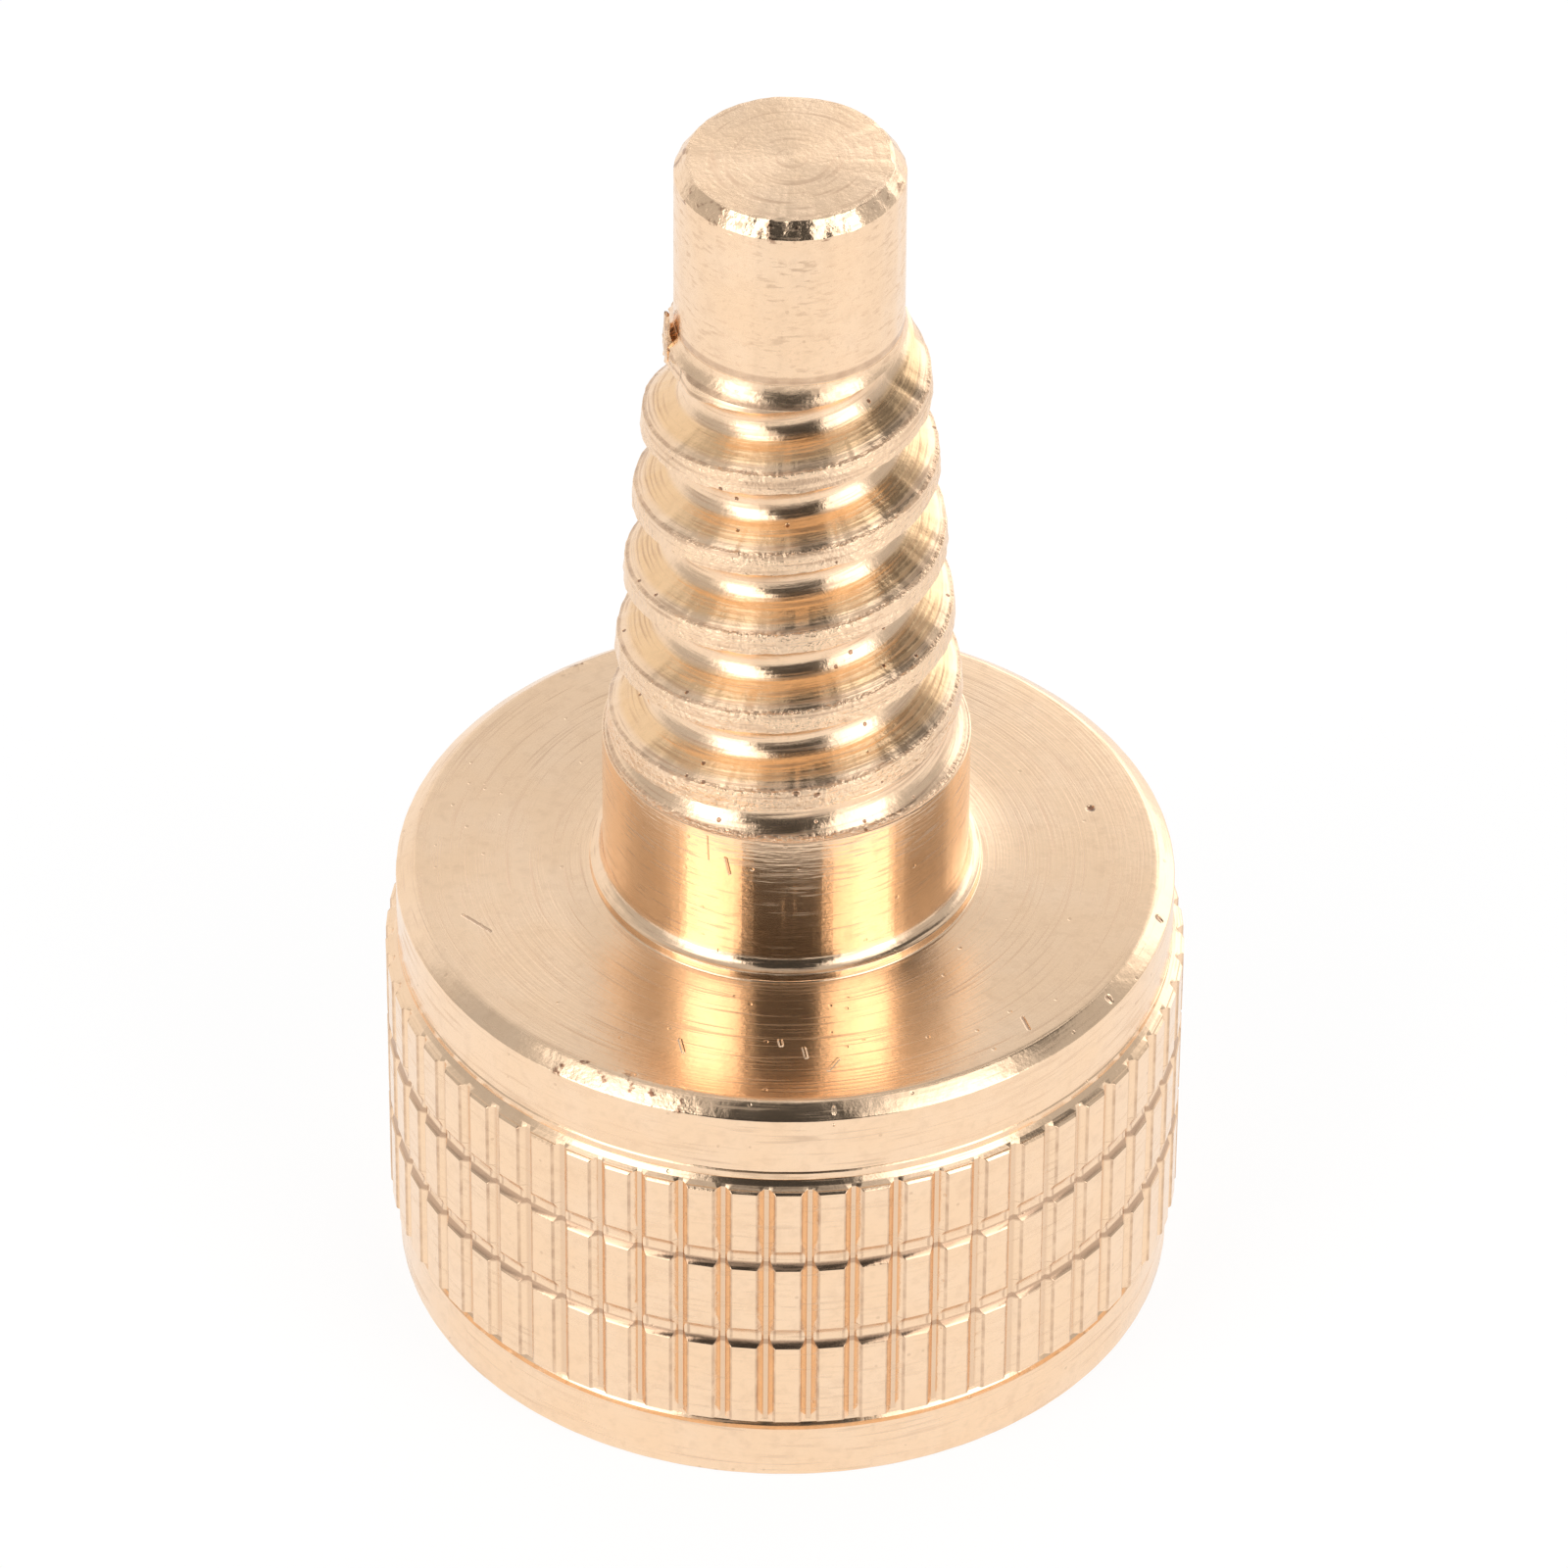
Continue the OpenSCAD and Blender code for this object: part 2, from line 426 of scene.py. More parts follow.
@dataclass
class Thread:
    """The tapered thread: a round groove cut along a cone."""

    pitch: float = 2.5
    base_radius: float = 4.92
    top_radius: float = 3.74
    shoulder: float = 17.75
    bevel_foot: float = 30.28
    nose: float = 31.10
    nose_radius: float = 3.43
    groove_drop: float = 0.84
    crest_width: float = 0.57
    groove_angle: float = 60.0
    root_rounding: float = 0.6
    run_out_start: float = 70.0
    run_out_angle: float = 80.0
    columns: int = 200
    arc_steps: int = 26
    turns: int = 8
    section_radius: float = 4.0
    reach_down: float = 0.4
    reach_up: float = 0.62
    pilot_radius: float = 3.06
    pilot_fillet: float = 0.75
    envelope_foot: float = 16.5
    envelope_radius: float = 6.0
    envelope_core: float = 2.0
    burr_height: float = 0.035
    burr_reach: float = 0.1
    burr_fineness: float = 3.2
    torn_turns: Pair = (-128.0, -48.0)
    torn_fades: Pair = (18.0, 12.0)
    torn_radius: float = 3.30
    torn_raggedness: float = 0.09
    torn_fineness: float = 5.0

    def crest(self, height: float) -> float:
        """Returns the radius over the crests at a height."""
        rise = (height - self.shoulder) / (self.bevel_foot - self.shoulder)
        return self.base_radius + (self.top_radius - self.base_radius) * rise

    def lift(self, height: float, angle: float) -> float:
        """Tells how far the tool has drawn back when it passes a point of the groove.

        Args:
            height: Height of the point.
            angle: The point's angle about the axis, in radians from the +X side.

        Returns:
            The amount by which the groove is shallower there.
        """
        turned = math.degrees(angle) + 90
        middle = self.nose - self.groove_drop + self.pitch * turned / 360
        middle += self.pitch * round((height - middle) / self.pitch)
        past = (middle - self.nose + self.groove_drop) * 360 / self.pitch
        return self.groove_depth() * max(0.0, past - self.run_out_start) / self.run_out_angle

    def groove_depth(self) -> float:
        """Returns the depth of the groove below the crests."""
        half_angle = math.radians(self.groove_angle / 2)
        half = (self.pitch - self.crest_width) / 2
        return half / math.tan(half_angle) - self.root_rounding * (1 / math.sin(half_angle) - 1)

    def section(self) -> Outline:
        """Section of one turn, from the middle of one crest to the next.

        Returns:
            Pairs of the depth below the crests and the height above the groove's middle.
        """
        half = (self.pitch - self.crest_width) / 2
        apex = half / math.tan(math.radians(self.groove_angle / 2))
        corners = [
            Corner(0.0, -self.pitch / 2),
            Corner(0.0, -half, 0.02, 2),
            Corner(apex, 0.0, self.root_rounding, self.arc_steps),
            Corner(0.0, half, 0.02, 2),
        ]
        return rounded_outline(corners)

    def build(self) -> Piece:
        """Returns the thread as a closed solid that reaches into the shank and the pilot."""
        reference = self.section_radius
        start = self.nose - self.groove_drop - (self.turns - 1) * self.pitch
        deselect_all()
        bpy.ops.mesh.primitive_plane_add(size=1)
        rod = bpy.context.active_object
        rod.name = rod.data.name = "thread"
        rod.data.clear_geometry()
        points = [
            ((reference - depth) * MM, 0, (start + height) * MM) for depth, height in self.section()
        ]
        points.append((reference * MM, 0, (start + self.pitch / 2) * MM))
        rod.data.from_pydata(points, [(i, i + 1) for i in range(len(points) - 1)], [])
        screw = rod.modifiers.new("turns", "SCREW")
        screw.steps = screw.render_steps = self.columns
        screw.screw_offset = self.pitch * MM
        screw.iterations = self.turns
        screw.angle = 2 * math.pi
        screw.use_merge_vertices = True
        screw.merge_threshold = MERGE * MM
        take(rod)
        bpy.ops.object.modifier_apply(modifier=screw.name)
        self.shape(rod)
        ends = ((self.shoulder - self.reach_down, True), (self.nose + self.reach_up, False))
        with editing(rod):
            bpy.ops.mesh.remove_doubles(threshold=MERGE * MM)
            for height, keep_above in ends:
                bpy.ops.mesh.select_all(action="SELECT")
                bpy.ops.mesh.bisect(
                    plane_co=(0, 0, height * MM),
                    plane_no=(0, 0, 1),
                    use_fill=True,
                    threshold=0.1 * MERGE * MM,
                    clear_inner=keep_above,
                    clear_outer=not keep_above,
                )
            bpy.ops.mesh.select_mode(type="VERT")
            bpy.ops.mesh.select_all(action="DESELECT")
            bpy.ops.mesh.select_non_manifold()
            bpy.ops.mesh.edge_face_add()
        face_outward(rod)
        return rod

    def shape(self, rod: Piece) -> None:
        """Tapers the plain helix, lets the groove run out and roughens the crests.

        Args:
            rod: The helix around a rod of even width, a quarter of a turn ahead of its place.
        """
        elsewhere = Vector((40.0, 0.0, 0.0))
        for vertex in rod.data.vertices:
            x, y, z = vertex.co
            angle = math.atan2(y, x) - math.pi / 2
            depth = self.section_radius - math.hypot(x, y) / MM
            place = vertex.co * (self.burr_fineness / MM)
            burr = self.burr_height * max(0.0, 1.0 - depth / self.burr_reach)
            radius = self.crest(z / MM) - max(0.0, depth - self.lift(z / MM, angle))
            radius += burr * noise.noise(place)
            vertex.co.z += burr * 1.3 * MM * noise.noise(place + elsewhere)
            vertex.co.x = radius * MM * math.cos(angle)
            vertex.co.y = radius * MM * math.sin(angle)

    def tear_nose(self, rod: Piece) -> None:
        """Draws the nose's edge in on the side where the first turn is torn.

        Args:
            rod: The thread with its nose already trimmed.
        """
        first, last = self.torn_turns
        fade_in, fade_out = self.torn_fades
        for vertex in rod.data.vertices:
            radius, turn, height = polar(vertex)
            inside = first < turn < last and self.bevel_foot - 0.3 < height < self.nose + 0.2
            if not inside or radius < self.torn_radius - 0.05:
                continue
            share = min(1.0, (turn - first) / fade_in, (last - turn) / fade_out)
            rough = noise.noise(vertex.co * (self.torn_fineness / MM))
            torn = self.torn_radius + self.torn_raggedness * rough
            swell = (radius + share * (torn - radius)) / radius
            vertex.co.x *= swell
            vertex.co.y *= swell

    def nose_envelope(self) -> Outline:
        """Outline of the nose: what the nose bevel and the fillet leave of the thread."""
        slope = (self.top_radius - self.nose_radius) / (self.nose - self.bevel_foot)
        outer, core = self.envelope_radius, self.envelope_core
        low = self.nose - (outer - self.nose_radius) / slope
        fillet = self.pilot_fillet
        step = self.nose_radius - self.pilot_radius
        rise = math.sqrt(fillet**2 - (fillet - step) ** 2)
        centre = (self.pilot_radius + fillet, self.nose + rise)
        first = math.atan2(-rise, step - fillet)
        last = -math.pi + 0.12
        arc = [
            (centre[0] + fillet * math.cos(a), centre[1] + fillet * math.sin(a))
            for a in (first + (last - first) * step / 8 for step in range(9))
        ]
        foot = [(core, self.envelope_foot), (outer, self.envelope_foot), (outer, low)]
        return [*foot, *arc, (core, arc[-1][1] + 0.001)]


@dataclass
class Pilot:
    """The plain pilot at the thread's end."""

    radius: float = 3.06
    foot: float = 29.6
    base: float = 31.55
    tip: float = 36.81
    bevel_height: float = 0.43
    bevel_width: float = 0.31
    inner_radius: float = 1.0
    stem_radius: float = 2.2
    chip_depth: float = 0.10
    chip_fineness: float = 1.6

    def build(self) -> Piece:
        """Returns the pilot, which reaches down into the thread."""
        tip_radius = self.radius - self.bevel_width
        outline = rounded_outline(
            [
                Corner(self.inner_radius, self.foot),
                Corner(self.stem_radius, self.foot),
                Corner(self.stem_radius, self.base),
                Corner(self.radius, self.base + 0.001),
                Corner(self.radius, self.tip - self.bevel_height, 0.05, 3),
                Corner(tip_radius, self.tip, 0.06, 3),
                Corner(tip_radius - 0.15, self.tip),
                Corner(self.inner_radius, self.tip),
            ]
        )
        blank = turn_blank("pilot", outline, even_angles(COLUMNS))
        for vertex in blank.data.vertices:
            radius, _, height = polar(vertex)
            if radius < tip_radius - 0.12 or self.tip - height > self.bevel_height + 0.1:
                continue
            rough = abs(noise.noise(vertex.co * (self.chip_fineness / MM)))
            chip = rough**1.5 * self.chip_depth
            vertex.co.z -= chip * MM
            vertex.co.x *= 1 - 0.5 * chip / radius
            vertex.co.y *= 1 - 0.5 * chip / radius
        return blank


@dataclass
class Burr:
    """The torn sliver that stands at the nose's edge, beside the pilot."""

    turn: float = -84.0
    radius: float = 3.26
    foot: float = 30.80
    height: float = 1.35
    width: float = 1.1
    thickness: float = 0.16
    slimming: float = 0.55
    narrowing: float = 0.4
    raggedness: float = 0.09

    def build(self) -> Piece:
        """Returns the sliver as a closed solid whose foot lies in the nose's edge."""
        deselect_all()
        bpy.ops.mesh.primitive_cube_add(size=1)
        burr = bpy.context.active_object
        burr.name = burr.data.name = "burr"
        with editing(burr):
            bpy.ops.mesh.subdivide(number_cuts=9)
        for vertex in burr.data.vertices:
            along, out, up = vertex.co.x, vertex.co.y, vertex.co.z + 0.5
            torn = 0.72 + 0.75 * noise.noise(Vector((along * 5.0, 7.3, 2.1)))
            height = self.foot + self.height * up * torn
            rough = noise.noise(Vector((along * 4.0, out * 2.0, up * 4.0)))
            radius = self.radius - out * self.thickness * (1.0 - self.slimming * up)
            radius += self.raggedness * up * rough
            width = self.width * (1.0 - self.narrowing * up)
            put(vertex, radius, math.radians(self.turn) + along * width / self.radius, height)
        face_outward(burr)
        return burr


@dataclass
class Screw:
    """The whole screw: head, thread, pilot and torn sliver joined to one solid."""

    head: Head = field(default_factory=Head)
    thread: Thread = field(default_factory=Thread)
    pilot: Pilot = field(default_factory=Pilot)
    burr: Burr = field(default_factory=Burr)

    def build(self) -> Piece:
        """Returns the joined screw."""
        rod = self.thread.build()
        envelope = turn_blank("envelope", self.thread.nose_envelope(), even_angles(COLUMNS, 0.3))
        join_solids(rod, envelope, "INTERSECT")
        self.thread.tear_nose(rod)
        join_solids(rod, self.pilot.build(), "UNION")
        join_solids(rod, self.burr.build(), "UNION")
        screw = self.head.build()
        join_solids(screw, rod, "UNION")
        screw.name = screw.data.name = "joint_screw_brass"
        take(screw)
        bpy.ops.object.shade_smooth_by_angle(angle=math.radians(17))
        return screw


# ---- Shader values ----


def combined(operation: str, swapped: bool = False) -> Callable[["Signal", "Operand"], "Signal"]:
    """Returns an operator of Signal; a swapped one has its other value first."""

    def method(this: "Signal", other: "Operand") -> "Signal":
        """Adds the Math node."""
        pair = (other, this) if swapped else (this, other)
        return this.math(operation, *pair)

    return method


class Signal:
    """A number or a vector that a shader works out, combined by the usual operators.

    Args:
        tree: The node tree that works the value out.
        socket: The output socket that holds it.
    """

    def __init__(self, tree: bpy.types.NodeTree, socket: bpy.types.NodeSocket) -> None:
        self.tree = tree
        self.socket = socket

    def math(self, operation: str, *operands: "Operand") -> "Signal":
        """Adds one Math node.

        Args:
            operation: The node's operation.
            operands: Its inputs in order, numbers or signals.

        Returns:
            The node's result.
        """
        node = self.tree.nodes.new("ShaderNodeMath")
        node.operation = operation
        for socket, operand in zip(node.inputs, operands):
            if isinstance(operand, Signal):
                self.tree.links.new(operand.socket, socket)
            else:
                socket.default_value = operand
        return Signal(self.tree, node.outputs[0])

    __add__, __radd__ = combined("ADD"), combined("ADD", swapped=True)
    __sub__, __rsub__ = combined("SUBTRACT"), combined("SUBTRACT", swapped=True)
    __mul__, __rmul__ = combined("MULTIPLY"), combined("MULTIPLY", swapped=True)
    __pow__, __or__, __and__ = combined("POWER"), combined("MAXIMUM"), combined("MINIMUM")

    def __abs__(self) -> "Signal":
        return self.math("ABSOLUTE", self)

    def rounded(self) -> "Signal":
        """Returns the nearest whole number."""
        return self.math("ROUND", self)

    def angle_over(self, other: "Signal") -> "Signal":
        """Returns the angle, in radians, whose sine goes with this value and cosine with other."""
        return self.math("ARCTAN2", self, other)

    def rise(self, low: float, high: float) -> "Signal":
        """Returns 0 below low and 1 above high, with a smooth step between."""
        node = self.tree.nodes.new("ShaderNodeMapRange")
        node.interpolation_type = "SMOOTHSTEP"
        self.tree.links.new(self.socket, node.inputs["Value"])
        node.inputs["From Min"].default_value = low
        node.inputs["From Max"].default_value = high
        return Signal(self.tree, node.outputs["Result"])

    def fall(self, low: float, high: float) -> "Signal":
        """Returns 1 below low and 0 above high, with a smooth step between."""
        return 1.0 - self.rise(low, high)

    def between(self, low: float, high: float, soft: float) -> "Signal":
        """Returns 1 between low and high and 0 outside, with smooth steps soft wide."""
        return self.rise(low - soft / 2, low + soft / 2) * self.fall(
            high - soft / 2, high + soft / 2
        )


Operand = Union[float, Signal]


class NodeSheet:
    """The nodes of one material or world, added one by one.

    Args:
        tree: The empty node tree to fill.
    """

    def __init__(self, tree: bpy.types.NodeTree) -> None:
        self.tree = tree
        tree.nodes.clear()

    def add(
        self,
        kind: str,
        settings: Optional[dict[str, Any]] = None,
        inputs: Optional[dict[Any, Any]] = None,
    ) -> bpy.types.Node:
        """Adds a node.

        Args:
            kind: The node's type.
            settings: Properties of the node, which are set first.
            inputs: Values, signals or sockets for its inputs, by name or number.

        Returns:
            The node.
        """
        node = self.tree.nodes.new(kind)
        for name, value in (settings or {}).items():
            setattr(node, name, value)
        for key, value in (inputs or {}).items():
            if isinstance(value, Signal):
                self.tree.links.new(value.socket, node.inputs[key])
            elif isinstance(value, bpy.types.NodeSocket):
                self.tree.links.new(value, node.inputs[key])
            else:
                node.inputs[key].default_value = value
        return node

    def signal(self, node: bpy.types.Node, output: Any = 0) -> Signal:
        """Returns an output of a node as a signal."""
        return Signal(self.tree, node.outputs[output])

    def split(self, vector: Any) -> tuple[Signal, Signal, Signal]:
        """Returns the three parts of a vector."""
        node = self.add("ShaderNodeSeparateXYZ", inputs={0: vector})
        return self.signal(node, 0), self.signal(node, 1), self.signal(node, 2)

    def vector(self, operation: str, first: Any, second: Any, output: Any = 0) -> Signal:
        """Returns the result of one Vector Math node.

        Args:
            operation: The node's operation.
            first: First vector.
            second: Second vector.
            output: The node's output that is used.

        Returns:
            The result, a vector or a number.
        """
        node = self.add("ShaderNodeVectorMath", {"operation": operation}, {0: first, 1: second})
        return self.signal(node, output)

    def scaled(self, vector: Any, factor: Operand) -> Signal:
        """Returns a vector times a number."""
        inputs = {0: vector, "Scale": factor}
        return self.signal(self.add("ShaderNodeVectorMath", {"operation": "SCALE"}, inputs))

    def joined(self, x: Operand, y: Operand, z: Operand) -> Signal:
        """Returns a vector made of three parts."""
        return self.signal(self.add("ShaderNodeCombineXYZ", inputs={0: x, 1: y, 2: z}))

    def noise(self, where: Signal, scale: float = 1.0, detail: float = 2.0) -> Signal:
        """Returns noise between about -0.5 and 0.5."""
        node = self.add(
            "ShaderNodeTexNoise",
            {"noise_dimensions": "3D"},
            {"Vector": where, "Scale": scale, "Detail": detail, "Roughness": 0.55},
        )
        return self.signal(node, "Fac") - 0.5

    def dots(self, where: Signal, scale: float, size: float, share: float) -> Signal:
        """Returns sparse round dots of 1 on 0.

        Args:
            where: Position of the point.
            scale: Number of cells in each unit of length.
            size: Radius of the dots as a share of a cell.
            share: Share of the cells that hold a dot.

        Returns:
            The dots.
        """
        node = self.add(
            "ShaderNodeTexVoronoi",
            {"feature": "F1", "voronoi_dimensions": "3D"},
            {"Vector": where, "Scale": scale, "Randomness": 1.0},
        )
        near = self.signal(node, "Distance").fall(size * 0.6, size)
        chosen = self.split(node.outputs["Color"])[0].rise(1 - share - 0.001, 1 - share)
        return near * chosen

    def blend(self, share: Operand, first: Any, second: Any) -> Signal:
        """Returns a mix of two colours; share 0 gives the first one."""
        node = self.add("ShaderNodeMix", {"data_type": "RGBA"}, {0: share, 6: first, 7: second})
        return self.signal(node, 2)

    def out(self, socket: bpy.types.NodeSocket) -> None:
        """Links the finished surface or background to the output."""
        world = any(node.type == "BACKGROUND" for node in self.tree.nodes)
        kind = "ShaderNodeOutputWorld" if world else "ShaderNodeOutputMaterial"
        self.add(kind, inputs={0: socket})


# ---- Finish ----


def rgba(colour: Colour) -> tuple[float, float, float, float]:
    """Returns a colour with its alpha."""
    return (*colour, 1.0)


@dataclass(frozen=True)
class Layer:
    """One layer of turning marks.

    Args:
        fineness: Marks in each millimetre across them.
        stretch: How fast they change along the turn, for each millimetre.
        height: Height of the marks, in millimetres.
    """

    fineness: float
    stretch: float
    height: float


class Region(Enum):
    """Parts of the screw that the tools left with finishes of their own."""

    BAND = "band"
    KNURL = "knurl"
    COLLAR = "collar"
    FACE = "face"
    SHANK = "shank"
    THREAD = "thread"
    PILOT = "pilot"
    TIP = "tip"


@dataclass(frozen=True)
class Finish:
    """The look of one region.

    Args:
        roughness: Roughness of the metal.
        layers: Its two layers of turning marks.
        grain: Height of its grain, in millimetres.
        lines: How dark the deepest marks are, from 0 to 1.
    """

    roughness: float
    layers: tuple[Layer, Layer]
    grain: float = 0.0
    lines: float = 0.0


@dataclass(frozen=True)
class Scratch:
    """A scratch, a dent or a pit: a line from one point to another, in millimetres.

    Args:
        start: First end of the line.
        end: Second end.
        width: Half its width.
        depth: Depth, or height if below 0.
        dark: How dark it is, from 0 to 1.
    """

    start: tuple[float, float, float]
    end: tuple[float, float, float]
    width: float
    depth: float
    dark: float


FINISHES: dict[Region, Finish] = {
    Region.BAND: Finish(0.20, (Layer(8, 0.40, 0.003), Layer(3.0, 0.20, 0.002)), 0.003, 0.15),
    Region.KNURL: Finish(0.16, (Layer(8, 0.80, 0.002), Layer(3.0, 0.30, 0.001)), 0.004, 0.08),
    Region.COLLAR: Finish(0.18, (Layer(8, 0.50, 0.003), Layer(3.0, 0.20, 0.001)), 0.003, 0.15),
    Region.FACE: Finish(0.20, (Layer(14, 0.32, 0.005), Layer(2.6, 0.10, 0.003)), 0.002, 0.26),
    Region.SHANK: Finish(0.14, (Layer(12, 0.90, 0.006), Layer(2.5, 0.25, 0.001)), 0.003, 0.36),
    Region.THREAD: Finish(0.22, (Layer(7, 0.40, 0.011), Layer(2.6, 0.30, 0.016)), 0.006, 0.36),
    Region.PILOT: Finish(0.22, (Layer(8, 2.20, 0.004), Layer(2.2, 1.20, 0.008)), 0.009, 0.18),
    Region.TIP: Finish(0.26, (Layer(6, 0.60, 0.008), Layer(2.2, 0.30, 0.005)), 0.012, 0.22),
}

SCRATCHES: tuple[Scratch, ...] = (
    Scratch((8.40, 2.16, 13.15), (8.40, 2.16, 13.15), 0.12, 0.06, 0.9),
    Scratch((-8.70, -2.65, 13.15), (-8.01, -3.27, 13.15), 0.05, 0.03, 0.4),
    Scratch((6.41, -6.72, 13.15), (6.58, -7.20, 13.15), 0.05, 0.04, 0.5),
    Scratch((-2.80, -7.75, 13.15), (-2.70, -8.25, 13.15), 0.05, -0.06, 0.0),
    Scratch((0.53, -8.05, 13.15), (0.60, -8.45, 13.15), 0.05, -0.06, 0.0),
    Scratch((1.20, -8.95, 13.15), (1.45, -8.50, 13.15), 0.05, -0.06, 0.0),
    Scratch((-0.11, -7.75, 13.15), (-0.08, -7.95, 13.15), 0.06, -0.06, 0.0),
    Scratch((1.34, -10.30, 13.10), (1.34, -10.55, 12.62), 0.05, -0.04, 0.0),
    Scratch((7.65, -7.04, 12.80), (7.72, -7.10, 12.70), 0.10, 0.04, 0.6),
    Scratch((8.73, -5.66, 12.95), (8.78, -5.70, 12.85), 0.10, 0.04, 0.6),
    Scratch((10.14, -2.30, 12.95), (10.20, -2.35, 12.85), 0.10, 0.04, 0.6),
    Scratch((0.24, -4.79, 19.27), (0.30, -4.79, 19.27), 0.08, 0.05, 0.7),
    Scratch((0.81, -4.73, 19.18), (0.86, -4.73, 19.20), 0.07, 0.05, 0.7),
    Scratch((-2.10, -4.55, 17.60), (-2.07, -4.56, 16.80), 0.020, 0.02, 0.4),
    Scratch((-1.60, -4.75, 17.00), (-1.50, -4.78, 16.50), 0.045, 0.03, 0.5),
    Scratch((-3.53, -2.46, 27.34), (-3.50, -2.50, 27.30), 0.12, 0.05, 0.8),
    Scratch((3.93, -1.74, 22.09), (3.90, -1.80, 22.05), 0.12, 0.05, 0.8),
)


@dataclass(frozen=True)
class Place:
    """Where the shaded point lies: millimetres, and its turn from the front as a share of 1."""

    x: Signal
    z: Signal
    radius: Signal
    turn: Signal


@dataclass(frozen=True)
class TurnedBrass:
    """Brass as the tools left it, with marks that follow its shape and not the camera.

    There are rings on the turned walls and faces, and lines along the groove of the thread.
    Its colour also holds painted shade in the knurl and along the crests, and a painted
    amber reflection low in the thread's groove.
    Lengths are millimetres. A pair says where a soft step starts and where it ends.
    """

    thread: Thread
    head: Head
    pilot: Pilot
    base: Colour = (0.965, 0.69, 0.46)
    worn: Colour = (0.98, 0.75, 0.55)
    # painted reflection: the amber of light bounced between the thread's flanks
    amber: Colour = (0.90, 0.56, 0.25)
    # the dark of stains, pits and scratches, and of the painted shade
    stain_and_shade: Colour = (0.22, 0.09, 0.05)
    anisotropy: float = 0.75
    cloud_scale: float = 0.5
    grain_scale: float = 7.0
    dent_scale: float = 2.6
    worn_clouds: Pair = (-0.2, 0.25)
    deep_marks: Pair = (0.03, 0.22)
    dark_grain: Pair = (0.04, 0.24)
    grain_darkness: float = 14.0
    crest_edge: Pair = (0.03, 0.14)
    crest_height: float = 0.05
    pit_cells: float = 2.3
    pit_size: float = 0.16
    pit_share: float = 0.16
    pit_depth: float = 0.02
    # painted shade: where it darkens the roots of the knurl's grooves and rings, and how dark it is
    flute_root: Pair = (0.06, 0.12)
    ring_root: Pair = (0.13, 0.32)
    knurl_shade: float = 0.52
    dented_side: Pair = (-6.3, -2.3)
    rim_dents: float = 0.008
    deeper_dents: float = 0.02
    bevel_dents: float = 0.035
    worn_dents: Pair = (0.06, 0.18)
    mottling: Pair = (-0.05, 0.25)
    # depth band of the painted shade along the edges of the thread's crests
    crest_shade_band: Pair = (0.02, 0.11)
    nose_rings: tuple[Pair, ...] = ((30.90, 0.06), (31.15, 0.07), (31.80, 0.16))
    # where the painted amber reflection lies in the thread's groove
    amber_depth: Pair = (0.28, 0.88)
    amber_below: Pair = (-0.50, -0.36)

    def regions(self, height: Signal) -> dict[Region, Signal]:
        """Returns for each region a mask of the heights that it takes up."""
        head, thread, tip = self.head, self.thread, self.pilot.tip
        seat, shank_end = head.seat_height, thread.shoulder + 0.02
        return {
            Region.BAND: height.fall(head.band_height + 0.2, head.knurl_foot),
            Region.KNURL: height.between(head.knurl_foot, head.knurl_top, 0.02),
            Region.COLLAR: height.between(head.knurl_top, seat - 0.03, 0.02),
            Region.FACE: height.between(seat - 0.03, seat + 0.05, 0.02),
            Region.SHANK: height.between(seat + 0.05, shank_end, 0.02),
            Region.THREAD: height.between(shank_end, thread.nose, 0.02),
            Region.PILOT: height.between(thread.nose, tip - 0.005, 0.01),
            Region.TIP: height.rise(tip - 0.01, tip),
        }

    @staticmethod
    def spread(masks: dict[Region, Signal], pick: Callable[[Finish], float]) -> Signal:
        """Returns the value that each region's finish gives, spread over the regions."""
        return sum(masks[region] * pick(finish) for region, finish in FINISHES.items())

    def on_groove(self, at: Place) -> tuple[Signal, Signal]:
        """Returns the height above the nearest groove's middle, and the depth below the crests."""
        thread = self.thread
        rise = (at.z - (thread.nose - thread.groove_drop)) * (1 / thread.pitch) - at.turn
        slope = (thread.base_radius - thread.top_radius) / (thread.bevel_foot - thread.shoulder)
        depth = (thread.base_radius + slope * thread.shoulder) - at.z * slope - at.radius
        return (rise - rise.rounded()) * thread.pitch, depth

    def shade_in_knurl(self, at: Place, dents: Signal) -> Signal:
        """Returns the painted shade along the edges and in the roots of the grooves; dents break it
        up.
        """
        head = self.head
        flutes = (at.turn - head.flute_turn / 360) * float(head.flute_count)
        pitch = 2 * math.pi * head.land_radius / head.flute_count
        aside = abs(flutes - flutes.rounded()) * pitch
        half, half_ring = head.flute_width / 2, head.ring_width / 2
        dirt = aside.between(half - 0.05, half + 0.03, 0.04) * (0.6 + dents * 1.6)
        dirt = dirt + aside.fall(*self.flute_root) * 0.35
        for middle in head.ring_middles:
            edges = abs(at.z - middle).between(half_ring - 0.03, half_ring, 0.04) * 0.6
            dirt = dirt | edges | (middle - at.z).between(*self.ring_root, 0.06)
        return dirt

    def worn_edges(self, at: Place) -> tuple[Signal, Signal, Signal]:
        """Returns the masks of the rim, of its dented part and of the pilot's bevel."""
        head, pilot = self.head, self.pilot
        rim = at.z.between(head.rim_foot - 0.05, head.seat_height + 0.02, 0.06)
        rim = rim * at.radius.rise(head.seat_radius - 0.35, head.seat_radius)
        inner = pilot.radius - pilot.bevel_width - 0.1
        bevel = at.z.between(pilot.tip - pilot.bevel_height - 0.12, pilot.tip - 0.01, 0.04)
        bevel = bevel * at.radius.rise(inner, pilot.radius - 0.3)
        return rim, rim * at.x.between(*self.dented_side, 0.6), bevel

